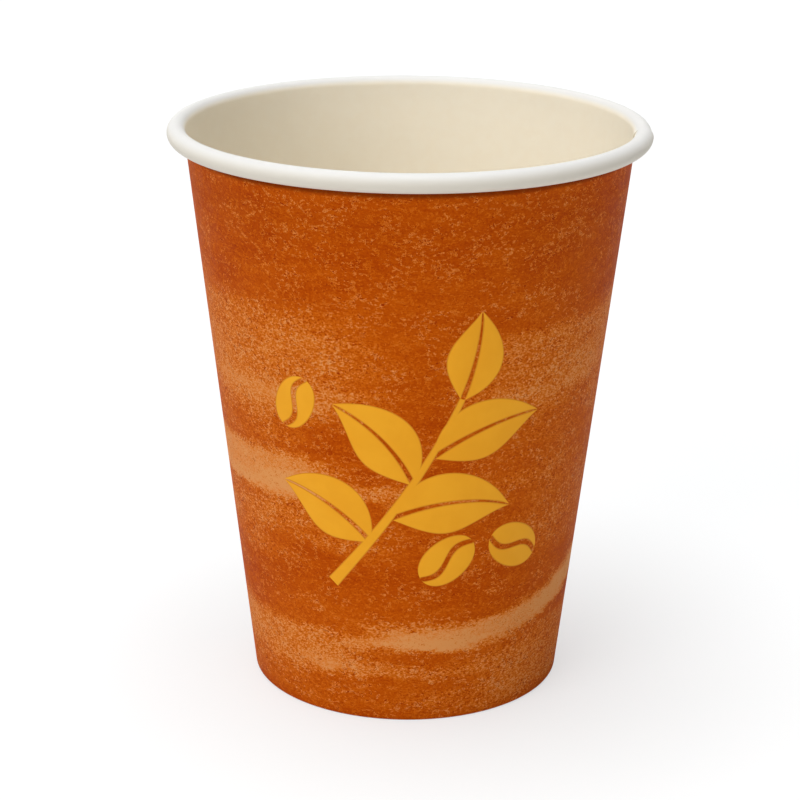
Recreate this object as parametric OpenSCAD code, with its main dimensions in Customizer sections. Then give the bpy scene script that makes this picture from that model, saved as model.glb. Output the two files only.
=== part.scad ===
// Single-wall paper hot cup, formed from two blanks of coated paperboard.
// The origin is at the centre of the foot, on the table, with +Z up and the front of the cup facing -Y.

/* [Cup] */
// Height from the table to the top of the rim
cup_h = 108.5; // [85:0.5:140]
// Outside diameter of the rolled rim
rim_d = 90; // [84:0.5:96]
// Diameter of the foot, where the line of the wall meets the table
foot_d = 59.2; // [52:0.2:66]

/* [Board] */
// Thickness of the sidewall's board
wall_t = 0.35; // [0.25:0.01:0.45]
// Thickness of the bottom disc's board
disc_t = 0.3; // [0.2:0.01:0.4]
// Clearance between layers that lie against each other
fit = 0.02; // [0.01:0.01:0.05]

/* [Rim roll] */
// Outside diameter of the roll of board that makes the rim
roll_d = 3.5; // [3:0.1:4.5]
// Angle of the roll's outer bend, from the wall to the underside of the rim
roll_turn = 240; // [200:5:260]
// Angle of the tighter bend that tucks the edge of the board up inside the roll
tuck_turn = 150; // [90:5:170]
// Gap between the tucked edge and the wall
tuck_gap = 0.1; // [0.05:0.01:0.2]

/* [Foot] */
// Height of the disc's underside above the table
recess_h = 8; // [6:0.5:14]
// Gap between the hem's cut edge and the disc's underside
hem_gap = 1; // [0.6:0.1:2.5]
// Gap between the skirt's cut edge and the board of the fold below it
skirt_gap = 1; // [0.2:0.1:2.5]
// Outside radius of the bend between the disc and its skirt
disc_bend = 1.2; // [0.8:0.1:1.6]
// Width of the flat that the fold is pressed to where it stands on the table
foot_flat = 0.5; // [0.2:0.05:0.8]

/* [Knurl] */
// Number of flutes that the knurling wheel presses into the hem's face
flutes = 72; // [36:2:96]
// Depth of a flute
flute_depth = 0.12; // [0.06:0.01:0.18]
// Radius of the wheel's teeth, which the flutes take
flute_r = 0.6; // [0.4:0.05:1]
// Plain margin of the hem above and below the flutes
flute_margin = 0.9; // [0.5:0.1:1.5]

/* [Side seam] */
// Width, at the rim, of the lap where the two side edges of the blank overlap
lap_w = 7; // [5:0.5:10]
// Depth that sealing presses the two layers of the lap into each other
lap_press = 0.05; // [0.02:0.01:0.1]
// Direction of the seam's outer edge, anticlockwise from +X
seam_at = 3; // [0:1:359]

/* [Hidden] */
$fn = 96;

// Step in radius between the two layers of the lap, half of which each half turn of the blank makes up
seam_step = wall_t - lap_press;

// Roll: its centre in the section, and the lean of the wall that runs tangent to it from the foot
foot_r = foot_d / 2;
roll_r = roll_d / 2;
roll_c = [rim_d / 2 - roll_r, cup_h - roll_r];
to_roll = roll_c - [foot_r, 0];
lean = atan2(to_roll.x, to_roll.y) - asin((roll_r - wall_t) / norm(to_roll));
wall_len = sqrt(pow(norm(to_roll), 2) - pow(roll_r - wall_t, 2));
tuck_from = 180 - roll_turn;
tuck_shift = (wall_t + tuck_gap) / (1 + cos(tuck_from));

// Foot: the slot between wall and hem takes the disc's skirt all round, where the wall steps out too
slot_w = disc_t + seam_step + 2 * fit;
fold_r = wall_t + slot_w / 2;
fold_z = sqrt(pow(fold_r, 2) - pow(foot_flat / 2, 2));
fold_y = along_wall(-fold_r, fold_z);
hem_x = -2 * fold_r;
hem_top = along_wall(hem_x, recess_h - hem_gap);
skirt_end = fold_y + skirt_gap;

// Disc: it lies against the inner half turn, and this is the bend at its edge in the wall's frame
disc_side = -1;
skirt_x = -wall_t - fit;
bend_x = skirt_x - disc_bend;
bend_y = along_wall(bend_x, recess_h + disc_t - disc_bend);
disc_flat_r = section_r(disc_side) + bend_x * cos(lean) + bend_y * sin(lean);

// Lap: its turn, and how far down the inner layer and up the outer layer reach. The inner layer ends level
// with the disc's skirt, and the outer one where the tucked edge closes against it.
lap_turn = asin(lap_w / (foot_r + wall_len * sin(lean)));
inner_reach = wall_len - skirt_end;
outer_reach = wall_len + tuck_shift * sin(tuck_from) - fold_y;

// Upper and lower part of the board in section, which run into each other over a fifth of its height
part_reach = 0.6 * (wall_len - fold_y);

// Radius at which the wall of a half turn meets the table: side is -1 for the inner one and 1 for the outer
function section_r(side) = foot_r + side * seam_step / 4;

// Distance up the wall at which a point x out from its outer face has height z
function along_wall(x, z) = (z + x * sin(lean)) / cos(lean);

// Frame of the wall's section in a half turn: y runs up the outer face from the foot, x points outwards
module on_wall(side) {
    translate([section_r(side), 0])
        rotate(-lean)
            children();
}

// Turn of a section about the axis of one half turn, which lies off the cup's own by a quarter step
module wind(side, start, angle) {
    translate([side * seam_step / 4, 0, 0])
        rotate_extrude(angle = angle, start = start)
            children();
}

// Sector of a disc, as a cutter for bends
module wedge(r, from, to) {
    steps = ceil((to - from) / 45);
    polygon([
        [0, 0],
        for (i = [0:steps])
            let (a = from + (to - from) * i / steps)
                2 * r * [cos(a), sin(a)]
    ]);
}

// Strip of board t thick, bent to the outside radius r
module bend(r, t, from, to) {
    intersection() {
        difference() {
            circle(r);
            circle(r - t);
        }
        wedge(r, from, to);
    }
}

// Upper part of the board, reaching down from the roll: a full-size bend outwards and down, drawn as
// two that run into each other, then a tighter one that tucks the edge in
module rolled_board(reach) {
    translate([roll_r - wall_t, wall_len]) {
        translate([-roll_r, -reach])
            square([wall_t, reach]);
        bend(roll_r, wall_t, 0, 180);
        rotate(tuck_from) {
            bend(roll_r, wall_t, 0, 90);
            translate([tuck_shift, 0])
                bend(roll_r - tuck_shift, wall_t, -tuck_turn, 0);
        }
    }
}

// Lower part of the board, reaching up from the foot: folded in and up as a hem, and the fold pressed flat
module hemmed_board(reach) {
    translate([-fold_r, fold_y]) {
        translate([fold_r - wall_t, 0])
            square([wall_t, reach]);
        intersection() {
            bend(fold_r, wall_t, 180, 360);
            rotate(lean)
                translate([-2 * fold_r, -fold_z])
                    square(4 * fold_r);
        }
        translate([-fold_r, 0])
            square([wall_t, hem_top - fold_y]);
    }
}

// Whole section of the board
module board_section() {
    rolled_board(part_reach);
    hemmed_board(part_reach);
}

// Disc with its edge turned down into the slot between wall and hem
module disc_section() {
    translate([0, recess_h])
        square([disc_flat_r, disc_t]);
    on_wall(disc_side) {
        translate([bend_x, bend_y])
            bend(disc_bend, disc_t, 0, 90 + lean);
        translate([skirt_x - disc_t, skirt_end])
            square([disc_t, bend_y - skirt_end]);
    }
}

// Stretch of the board, of the section given, from start on by angle
module stretch(side, start, angle) {
    wind(side, start, angle)
        on_wall(side)
            children();
}

// First half turn, with the blank's inner edge run on under the lap and its roll with it
module inner_half() {
    stretch(-1, 0, 180)
        board_section();
    stretch(-1, -lap_turn, lap_turn)
        rolled_board(inner_reach);
}

// Second half turn, whose roll ends where the first one's begins
module outer_half() {
    stretch(1, 180, 180 - lap_turn)
        board_section();
    stretch(1, 360 - lap_turn, lap_turn)
        hemmed_board(outer_reach);
}

// Teeth of the knurling wheel along a half turn, each pressed into the hem's inner face along its slope
module knurl(side, start) {
    translate([side * seam_step / 4, 0, 0])
        for (i = [0.5 : flutes / 2])
            rotate(start + i * 360 / flutes)
                translate([section_r(side), 0, 0])
                    rotate([0, lean, 0])
                        translate([hem_x + flute_depth - flute_r, 0, fold_y + flute_margin])
                            cylinder(h = hem_top - fold_y - 2 * flute_margin, r = flute_r);
}

// The wrapped blank winds outwards over its second half turn, by the step of the lap
module sidewall() {
    color("chocolate")
        rotate([0, 0, seam_at]) {
            difference() {
                inner_half();
                knurl(-1, 0);
            }
            difference() {
                outer_half();
                knurl(1, 180);
            }
        }
}

module bottom_disc() {
    color("ivory")
        rotate([0, 0, seam_at])
            wind(disc_side, 0, 360)
                disc_section();
}

sidewall();
bottom_disc();
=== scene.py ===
"""Looks of a paper hot cup: its printed and coated board, the ink motif on it and the studio round it.

The classes hold their sizes in millimetres and degrees, as a maker's drawing gives them, and turn them into
metres where a mesh is made. The origin is the centre of the foot, +Z is up and the cup's front faces -Y.
"""

import logging
import math
from collections.abc import Iterable
from dataclasses import dataclass, field
from enum import Enum, IntEnum

import bpy
import numpy as np
from mathutils import Matrix, Vector


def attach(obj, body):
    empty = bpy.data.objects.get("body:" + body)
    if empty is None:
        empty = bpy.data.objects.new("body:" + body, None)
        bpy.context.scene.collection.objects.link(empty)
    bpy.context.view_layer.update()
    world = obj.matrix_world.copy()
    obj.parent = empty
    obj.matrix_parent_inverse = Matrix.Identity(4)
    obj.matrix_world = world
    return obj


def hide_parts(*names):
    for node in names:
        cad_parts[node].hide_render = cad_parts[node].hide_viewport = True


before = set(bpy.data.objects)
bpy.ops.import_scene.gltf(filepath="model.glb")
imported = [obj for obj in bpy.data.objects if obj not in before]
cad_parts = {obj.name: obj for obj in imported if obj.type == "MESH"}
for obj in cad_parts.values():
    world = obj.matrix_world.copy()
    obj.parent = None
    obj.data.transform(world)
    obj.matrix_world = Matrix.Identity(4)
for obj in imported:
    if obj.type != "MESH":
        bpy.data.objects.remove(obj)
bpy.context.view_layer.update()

LOG = logging.getLogger("paper_cup")
BODY = "root"
# A millimetre in metres
MM = 0.001
# The direction of the cup's front, in degrees anticlockwise from +X
FRONT = 270.0
# The sharpest bend, in degrees, that a mesh still shades smoothly
SMOOTH_BEND = 50.0

Socket = bpy.types.NodeSocket
Value = float | tuple[float, ...] | Socket
Point = tuple[float, float]
Corners = tuple[int, ...]


def srgb(red: float, green: float, blue: float) -> tuple[float, float, float, float]:
    """Turns a colour as a screen shows it into the linear one that shaders work in.

    Args:
        red: red, 0 to 255.
        green: green, 0 to 255.
        blue: blue, 0 to 255.

    Returns:
        The linear colour with an alpha of 1.
    """
    shares = [channel / 255 for channel in (red, green, blue)]
    linear = [s / 12.92 if s <= 0.04045 else ((s + 0.055) / 1.055) ** 2.4 for s in shares]
    return (*linear, 1.0)


class BoardFace(IntEnum):
    """The material slots of the sidewall, one for each kind of face that a strip of board has."""

    PRINTED = 0
    COATED = 1
    CUT = 2


class Slot(Enum):
    """The name of the record's material slot for printed board, which no piece here is given."""

    PRINTED = "printed_board"


# Shader graphs


@dataclass(frozen=True)
class Noise:
    """Noise pattern, by how many of its waves fit in a metre.

    It has octaves, and a share that each finer one keeps. The twist distorts the pattern by itself, and the
    squash makes its waves that much shorter upwards.
    """

    scale: float
    octaves: float = 2.0
    keep: float = 0.5
    twist: float = 0.0
    squash: float = 1.0


@dataclass(frozen=True)
class Ramp:
    """Smooth change of a value, from start where it is low or less to end where it is high or more."""

    low: float
    high: float
    start: float = 0.0
    end: float = 1.0


class Graph:
    """A shader node tree with short calls for the nodes that the finishes use."""

    def __init__(self, tree: bpy.types.NodeTree) -> None:
        """Works on an empty node tree.

        Args:
            tree: the tree of a material, a world or a node group.
        """
        self.tree = tree
        self.tree.nodes.clear()

    def node(
        self, kind: str, inputs: dict[str | int, Value] | None = None, **settings: object
    ) -> bpy.types.Node:
        """Adds a node.

        Args:
            kind: the node's type, without the leading ShaderNode.
            inputs: a value or a socket to link for each input, by name or place.
            **settings: the node's own properties.

        Returns:
            The new node.
        """
        made = self.tree.nodes.new("ShaderNode" + kind)
        for key, setting in settings.items():
            setattr(made, key, setting)
        for key, value in (inputs or {}).items():
            self.feed(made.inputs[key], value)
        return made

    def feed(self, socket: Socket, value: Value) -> None:
        """Links or sets an input.

        Args:
            socket: the input.
            value: another node's output, or a plain value.
        """
        if isinstance(value, bpy.types.NodeSocket):
            self.tree.links.new(value, socket)
        else:
            socket.default_value = value

    def math(self, operation: str, *values: Value, clamp: bool = False) -> Socket:
        """Adds a Math node.

        Args:
            operation: what it does, such as MULTIPLY_ADD.
            *values: its inputs, in order.
            clamp: whether its result is kept from 0 to 1.

        Returns:
            Its result.
        """
        made = self.node("Math", dict(enumerate(values)), operation=operation, use_clamp=clamp)
        return made.outputs[0]

    def ramp(self, value: Value, ramp: Ramp) -> Socket:
        """Maps a value along a ramp.

        Args:
            value: what is mapped.
            ramp: how it changes.

        Returns:
            The mapped value.
        """
        limits = {"From Min": ramp.low, "From Max": ramp.high, "To Min": ramp.start, "To Max": ramp.end}
        made = self.node("MapRange", {"Value": value, **limits}, interpolation_type="SMOOTHSTEP")
        return made.outputs["Result"]

    def blend(self, factor: Value, first: Value, second: Value) -> Socket:
        """Mixes two colours.

        Args:
            factor: the share of the second.
            first: a colour.
            second: another colour.

        Returns:
            The mixed colour.
        """
        made = self.node("Mix", data_type="RGBA")
        # The node repeats its names for other kinds of data, so its colour sockets are found by place
        for place, value in ((0, factor), (6, first), (7, second)):
            self.feed(made.inputs[place], value)
        return made.outputs[2]

    def noise(self, where: Value, noise: Noise) -> Socket:
        """Adds a noise pattern.

        Args:
            where: the place where it is read.
            noise: the pattern.

        Returns:
            The pattern, from 0 to 1 and about 0.5 in the mean.
        """
        if noise.squash != 1:
            where = self.stretch(where, (1, 1, noise.squash))
        inputs = {"Vector": where, "Scale": noise.scale, "Detail": noise.octaves}
        inputs |= {"Roughness": noise.keep, "Distortion": noise.twist}
        return self.node("TexNoise", inputs, noise_dimensions="3D").outputs[0]

    def swing(self, pattern: Value, reach: float) -> Socket:
        """Makes a pattern swing to both sides of 0.

        Args:
            pattern: the pattern, from 0 to 1.
            reach: how far it swings either way.

        Returns:
            The new pattern.
        """
        return self.math("MULTIPLY_ADD", pattern, 2 * reach, -reach)

    def line(self, pattern: Value, level: float, width: float) -> Socket:
        """Draws the contour line of a pattern.

        Args:
            pattern: the pattern.
            level: the value that the line follows.
            width: how far from that value the line fades out.

        Returns:
            1 on the line and 0 away from it.
        """
        off = self.math("ABSOLUTE", self.math("SUBTRACT", pattern, level))
        return self.math("MULTIPLY_ADD", off, -1 / width, 1.0, clamp=True)

    def stretch(self, where: Value, factors: tuple[float, ...]) -> Socket:
        """Scales the place where a pattern is read.

        Args:
            where: the place.
            factors: its factor along each axis.

        Returns:
            The new place.
        """
        return self.node("VectorMath", {0: where, 1: factors}, operation="MULTIPLY").outputs[0]

    def map(self, name: str) -> bpy.types.Node:
        """Reads a map of the mesh.

        Args:
            name: the map's name.

        Returns:
            A node that gives the map's two values as X and Y.
        """
        return self.node("SeparateXYZ", {0: self.node("UVMap", uv_map=name).outputs[0]})

    def effect(self, group: bpy.types.NodeTree, **inputs: Value) -> bpy.types.Node:
        """Places an effect's node group.

        Args:
            group: the group.
            **inputs: values or sockets by the input's name, with _ for a space.

        Returns:
            The group node.
        """
        made = self.node("Group", node_tree=group)
        for key, value in inputs.items():
            self.feed(made.inputs[key.replace("_", " ")], value)
        return made


class Effect(Graph):
    """A node group with named inputs and outputs, built once and placed wherever its effect is used."""

    def __init__(
        self, name: str, values: Iterable[str], outputs: Iterable[str], placed: bool = True
    ) -> None:
        """Makes the group and its sockets.

        Args:
            name: the group's name.
            values: the names of its inputs that are plain values.
            outputs: the names of its outputs, all of them plain values.
            placed: whether it also has an input Vector, for the place where its patterns are read.
        """
        tree = bpy.data.node_groups.new(name, "ShaderNodeTree")
        super().__init__(tree)
        if placed:
            tree.interface.new_socket(name="Vector", in_out="INPUT", socket_type="NodeSocketVector")
        for key in values:
            tree.interface.new_socket(name=key, in_out="INPUT", socket_type="NodeSocketFloat")
        for key in outputs:
            tree.interface.new_socket(name=key, in_out="OUTPUT", socket_type="NodeSocketFloat")
        self.inputs = self.tree.nodes.new("NodeGroupInput").outputs
        self.outputs = self.tree.nodes.new("NodeGroupOutput").inputs

    def give(self, **values: Value) -> bpy.types.NodeTree:
        """Sets the group's outputs.

        Args:
            **values: a socket for each output, by its name.

        Returns:
            The finished group.
        """
        for key, value in values.items():
            self.feed(self.outputs[key], value)
        return self.tree


# Effects that the finishes use


@dataclass(frozen=True)
class BoardFibre:
    """Surface of paperboard: fine fibres, a soft mottle of the sheet and its slow waves."""

    fibres: Noise = Noise(2600, 3, 0.6, 0.8, squash=1.6)
    sheet: Noise = Noise(420, 3, 0.55)
    waves: Noise = Noise(70, 2, 0.45)
    sheet_share: float = 0.6
    mottle: Ramp = Ramp(0.3, 0.7)

    def build(self) -> bpy.types.NodeTree:
        """Builds the group.

        Returns:
            A group with the outputs Height, from about -1 to 1, and Mottle, from 0 to 1.
        """
        g = Effect("Board fibre", ("Grain", "Waves"), ("Height", "Mottle"))
        patterns = (self.fibres, self.sheet, self.waves)
        fibres, sheet, waves = (g.noise(g.inputs["Vector"], pattern) for pattern in patterns)
        rough = g.math("ADD", g.swing(fibres, 1), g.swing(sheet, self.sheet_share))
        grain = g.math("MULTIPLY", rough, g.inputs["Grain"])
        height = g.math("MULTIPLY_ADD", g.swing(waves, 1), g.inputs["Waves"], grain)
        return g.give(Height=height, Mottle=g.ramp(sheet, self.mottle))


@dataclass(frozen=True)
class SpongeFlecks:
    """Broken texture that a dry sponge leaves: a fine grain with short, thin, curled threads.

    The grain is strongest where the level is near the middle, where dark and light ink share the surface.
    The threads lie in patches. Each is drawn lighter, with a darker line sunk beside it.
    """

    stretch: tuple[float, ...] = (0.8, 0.8, 1.2)
    grain: Noise = Noise(2500, 2, 0.7, 0.6)
    clumps: Noise = Noise(520)
    clump_share: float = 0.2
    grain_rise: Ramp = Ramp(0.28, 0.5, 0.6, 2.3)
    grain_fall: Ramp = Ramp(0.68, 0.86, 1.0, 0.4)
    curls: Noise = Noise(2300, 2, 0.6, 1.3)
    patches: Noise = Noise(1250, twist=0.5)
    patch_edge: Ramp = Ramp(0.5, 0.57)
    calm: Noise = Noise(210)
    calm_share: Ramp = Ramp(0.4, 0.58, 0.45, 1.0)
    drawn_at: float = 0.5
    drawn_width: float = 0.085
    drawn_tone: float = 0.68
    sunk_at: float = 0.64
    sunk_width: float = 0.1
    sunk_tone: Ramp = Ramp(0.25, 0.6, 0.45, 0.8)

    def build(self) -> bpy.types.NodeTree:
        """Builds the group.

        Returns:
            A group with the output Tone, from 0 on the darkest ink to 1 on the lightest.
        """
        g = Effect("Sponge flecks", ("Level",), ("Tone",))
        level = g.inputs["Level"]
        where = g.stretch(g.inputs["Vector"], self.stretch)
        grain, clumps = (g.swing(g.noise(where, pattern), 0.5) for pattern in (self.grain, self.clumps))
        strength = g.math("MULTIPLY", g.ramp(level, self.grain_rise), g.ramp(level, self.grain_fall))
        rough = g.math("MULTIPLY_ADD", clumps, self.clump_share, grain)
        tone = g.math("MULTIPLY_ADD", rough, strength, level, clamp=True)
        calm = g.ramp(g.noise(where, self.calm), self.calm_share)
        patches = g.math("MULTIPLY", g.ramp(g.noise(where, self.patches), self.patch_edge), calm)
        curls = g.noise(where, self.curls)
        drawn = g.math("MULTIPLY", g.line(curls, self.drawn_at, self.drawn_width), self.drawn_tone)
        depth = g.ramp(level, self.sunk_tone)
        sunk = g.math("MULTIPLY", g.line(curls, self.sunk_at, self.sunk_width), depth)
        return g.give(Tone=g.math("MULTIPLY_ADD", g.math("SUBTRACT", drawn, sunk), patches, tone))


@dataclass(frozen=True)
class BrushBand:
    """One stroke of a wide brush round the cup, with a bent centre line and ragged edges."""

    values: tuple[str, ...] = (
        "Around", "Up", "Middle Around", "Middle Up", "Half Length", "Half Width",
        "Slope", "Bend", "Soft", "Fade", "Strength",
    )

    def build(self) -> bpy.types.NodeTree:
        """Builds the group.

        Returns:
            A group with the output Mask, which is Strength on the stroke and 0 away from it.
        """
        g = Effect("Brush band", self.values, ("Mask",), placed=False)
        along = g.math("SUBTRACT", g.inputs["Around"], g.inputs["Middle Around"])
        rise = g.math("MULTIPLY_ADD", along, g.inputs["Bend"], g.inputs["Slope"])
        centre = g.math("MULTIPLY_ADD", along, rise, g.inputs["Middle Up"])
        aside = g.math("SUBTRACT", g.inputs["Up"], centre)
        side = self.faded(g, aside, g.inputs["Half Width"], g.inputs["Soft"])
        tip = self.faded(g, along, g.inputs["Half Length"], g.inputs["Fade"])
        both = g.ramp(g.math("MULTIPLY", side, tip), Ramp(0, 1))
        return g.give(Mask=g.math("MULTIPLY", both, g.inputs["Strength"]))

    @staticmethod
    def faded(g: Graph, off: Socket, half: Socket, width: Socket) -> Socket:
        """Fades the stroke out to both sides of its middle.

        Args:
            g: the group's graph.
            off: distance from the middle.
            half: the distance where it is half faded.
            width: how far from there it fades either way.

        Returns:
            1 inside and 0 outside.
        """
        past = g.math("SUBTRACT", g.math("ABSOLUTE", off), half)
        share = g.math("DIVIDE", past, g.math("MULTIPLY", width, 2.0))
        return g.math("SUBTRACT", 0.5, share, clamp=True)


class Effects:
    """The effects' node groups, which the materials share."""

    def __init__(self) -> None:
        """Builds every group once."""
        self.fibre = BoardFibre().build()
        self.flecks = SpongeFlecks().build()
        self.brush = BrushBand().build()


# Finishes


def new_material(name: str) -> tuple[bpy.types.Material, Graph]:
    """Makes a material with an empty graph.

    Args:
        name: its name.

    Returns:
        The material and its graph.
    """
    material = bpy.data.materials.new(name)
    material.use_nodes = True
    return material, Graph(material.node_tree)


def finish_shader(g: Graph, shader: bpy.types.Node) -> None:
    """Sends a shader to the material's surface.

    Args:
        g: the material's graph.
        shader: the shader node.
    """
    g.node("OutputMaterial", {"Surface": shader.outputs[0]})


@dataclass(frozen=True)
class Surface:
    """Relief and shine of a finish.

    The grain and the waves of the board show through it by their shares, in a relief whose depth is in
    millimetres. Its roughness is even, or follows the mottle of the sheet along a ramp.
    """

    grain: float = 1.0
    waves: float = 1.0
    bump: float = 0.1
    depth: float = 0.05
    roughness: Ramp | float = Ramp(0, 1, 0.52, 0.6)
    specular: float = 0.25


@dataclass(frozen=True)
class Board:
    """A material in the making: its graph, the place in the cup's frame, its fibres and the effects."""

    g: Graph
    place: Socket
    fibre: bpy.types.Node
    effects: Effects


@dataclass(frozen=True)
class Finish:
    """What every finish has: relief and shine that follow the board's fibres, and a colour of its own."""

    name: str
    surface: Surface

    def build(self, effects: Effects) -> bpy.types.Material:
        """Makes the material.

        Args:
            effects: the shared node groups.

        Returns:
            The material.
        """
        material, g = new_material(self.name)
        place, s = g.node("TexCoord").outputs["Object"], self.surface
        fibre = g.effect(effects.fibre, Vector=place, Grain=s.grain, Waves=s.waves)
        relief = {"Height": fibre.outputs["Height"], "Strength": s.bump, "Distance": s.depth * MM}
        inputs = {
            "Base Color": self.colour(Board(g, place, fibre, effects)),
            "Roughness": s.roughness,
            "Normal": g.node("Bump", relief).outputs[0],
            "Specular IOR Level": s.specular,
        }
        if isinstance(s.roughness, Ramp):
            inputs["Roughness"] = g.ramp(fibre.outputs["Mottle"], s.roughness)
        finish_shader(g, g.node("BsdfPrincipled", inputs))
        return material

    def colour(self, board: Board) -> Socket:
        """Works out the finish's colour, in a way of its own for each finish.

        Args:
            board: the material in the making.

        Returns:
            The colour.
        """
        raise NotImplementedError


@dataclass(frozen=True)
class BrushStroke:
    """One band of the print, in millimetres round the cup from its front and up from the table."""

    around: float
    up: float
    half_length: float
    half_width: float
    strength: float
    slope: float = 0.0
    bend: float = 0.0
    soft: float = 1.5
    fade: float = 8.0


@dataclass(frozen=True)
class PrintedFinish(Finish):
    """Satin print: a sponged rust-brown ground with lighter brush bands.

    The level says how light the print is meant to be, and the tones give its colours from the darkest ink
    to the lightest. It ends in bare board past the foot's bend, and a painted shadow darkens it under the
    rim.
    """

    name: str = "Printed board"
    surface: Surface = Surface(waves=0.6, depth=0.04, roughness=Ramp(0, 1, 0.5, 0.6), specular=0.03)
    tones: tuple[tuple[float, tuple[float, ...]], ...] = (
        (0.0, srgb(160, 50, 0)),
        (0.17, srgb(184, 71, 0)),
        (0.37, srgb(204, 92, 4)),
        (0.55, srgb(215, 108, 18)),
        (0.72, srgb(224, 125, 42)),
        (0.88, srgb(231, 141, 71)),
        (1.0, srgb(232, 157, 90)),
    )
    bare: tuple[float, ...] = srgb(238, 230, 214)
    bare_past: Ramp = Ramp(3.2, 3.5)
    # Painted shadow: the deep brown that the print turns to just under the rim, the heights in millimetres
    # over which it comes in, and its greatest share
    crease: tuple[float, ...] = srgb(118, 42, 0)
    rim_shadow_up: Ramp = Ramp(103.3, 104.2, 0, 0.8)
    ground: float = 0.25
    clouds: Noise = Noise(40, 3, 0.6, squash=2.2)
    cloud_reach: float = 0.18
    streaks: Noise = Noise(62, 3, 0.65, squash=7)
    streak_reach: float = 0.16
    ragged: Noise = Noise(240, 4, 0.7, squash=2.5)
    ragged_reach: float = 2.2
    sway: Noise = Noise(26)
    sway_reach: float = 1.2
    strokes: tuple[BrushStroke, ...] = (
        BrushStroke(-36, 48.0, 22, 4.4, 0.6, soft=1.3, fade=6),
        BrushStroke(-6, 46.8, 22, 1.6, 0.44, soft=1.0, fade=7),
        BrushStroke(-31, 71, 24, 10, 0.3, slope=-0.03, soft=4, fade=12),
        BrushStroke(-31, 63.5, 16, 3.0, 0.24, soft=1.6, fade=7),
        BrushStroke(-36, 56.5, 14, 3.5, 0.16, soft=2, fade=8),
        BrushStroke(-18, 40, 13, 5, 0.2, slope=-0.2, soft=3, fade=7),
        BrushStroke(-42, 38, 16, 6, 0.2, soft=5, fade=9),
        BrushStroke(33, 71, 22, 7, 0.31, slope=0.07, soft=1.8, fade=9),
        BrushStroke(35, 58, 18, 8, 0.16, slope=0.04, soft=6, fade=10),
        BrushStroke(36, 40, 14, 10, 0.19, soft=6, fade=9),
        BrushStroke(25, 19.0, 31, 2.6, 0.67, slope=0.14, bend=0.0032, soft=1.3, fade=10),
        BrushStroke(44, 23.0, 12, 3.4, 0.28, slope=0.16, soft=1.6, fade=8),
        BrushStroke(36, 9, 18, 7, 0.28, slope=0.04, soft=3, fade=9),
        BrushStroke(-33, 12.8, 24, 4.6, 0.42, slope=0.02, soft=2.0, fade=9),
        BrushStroke(-40, 4.5, 16, 3, 0.14, soft=2.0, fade=9),
        BrushStroke(3, 4.2, 24, 3.4, 0.13, soft=2.2, fade=9),
        BrushStroke(-4, 10.4, 20, 1.5, 0.26, soft=1.2, fade=8),
        BrushStroke(0, 16.2, 15, 1.0, 0.24, slope=0.03, soft=0.9, fade=6),
        BrushStroke(-138, 30, 30, 3.0, 0.56, slope=0.02, bend=-0.003, soft=1.2, fade=9),
        BrushStroke(-136, 71, 32, 7.0, 0.32, slope=-0.04, soft=3.0, fade=11),
        BrushStroke(-124, 49, 18, 1.8, 0.42, slope=0.03, soft=1.0, fade=8),
        BrushStroke(-128, 89, 24, 2.2, 0.24, slope=0.02, soft=1.6, fade=10),
        BrushStroke(-140, 11, 34, 4.4, 0.36, slope=0.03, soft=2.0, fade=10),
        BrushStroke(-88, 73, 28, 3.6, 0.5, slope=0.05, soft=1.2, fade=9),
        BrushStroke(-84, 38, 24, 8.0, 0.3, slope=-0.04, soft=3.5, fade=10),
        BrushStroke(-80, 24, 18, 1.8, 0.42, slope=0.03, soft=1.0, fade=8),
    )

    def colour(self, board: Board) -> Socket:
        """Works out the print's colour.

        Args:
            board: the material in the making.

        Returns:
            The colour.
        """
        g, blank = board.g, board.g.map(Sidewall.BLANK_MAP)
        sponge = g.effect(board.effects.flecks, Vector=board.place, Level=self.level(board, blank))
        # Painted shadow: just under the rim the print is darkened towards a deep brown, where the roll would
        # shade it
        rim_shaded = g.ramp(blank.outputs["Y"], self.rim_shadow_up)
        inked = g.blend(rim_shaded, self.ink(g, sponge.outputs["Tone"]), self.crease)
        plain = g.ramp(g.map(Sidewall.TURNED_MAP).outputs["Y"], self.bare_past)
        return g.blend(plain, inked, self.bare)

    def level(self, board: Board, blank: bpy.types.Node) -> Socket:
        """Adds up how light the print is meant to be: clouds of the sponge, streaks and bands of the brush.

        Args:
            board: the material in the making.
            blank: the node with the distance round the cup and the height, in millimetres.

        Returns:
            The level, from 0 to 1.
        """
        g, place = board.g, board.place
        clouds = g.swing(g.noise(place, self.clouds), self.cloud_reach)
        streaks = g.swing(g.noise(place, self.streaks), self.streak_reach)
        level = g.math("ADD", g.math("ADD", clouds, self.ground), streaks)
        ragged = g.swing(g.noise(place, self.ragged), self.ragged_reach)
        sway = g.swing(g.noise(place, self.sway), self.sway_reach)
        up = g.math("ADD", blank.outputs["Y"], g.math("ADD", ragged, sway))
        for stroke in self.strokes:
            band = g.effect(
                board.effects.brush, Around=blank.outputs["X"], Up=up, Middle_Around=stroke.around,
                Middle_Up=stroke.up, Half_Length=stroke.half_length, Half_Width=stroke.half_width,
                Slope=stroke.slope, Bend=stroke.bend, Soft=stroke.soft, Fade=stroke.fade,
                Strength=stroke.strength,
            )
            level = g.math("ADD", level, band.outputs["Mask"])
        return level

    def ink(self, g: Graph, tone: Socket) -> Socket:
        """Turns a tone into the ink's colour.

        Args:
            g: the material's graph.
            tone: the tone, from 0 to 1.

        Returns:
            The colour.
        """
        made = g.node("ValToRGB", {0: tone})
        stops = made.color_ramp.elements
        stops[0].position, stops[0].color = self.tones[0]
        stops[1].position, stops[1].color = self.tones[-1]
        for position, colour in self.tones[1:-1]:
            stops.new(position).color = colour
        return made.outputs[0]


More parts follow.
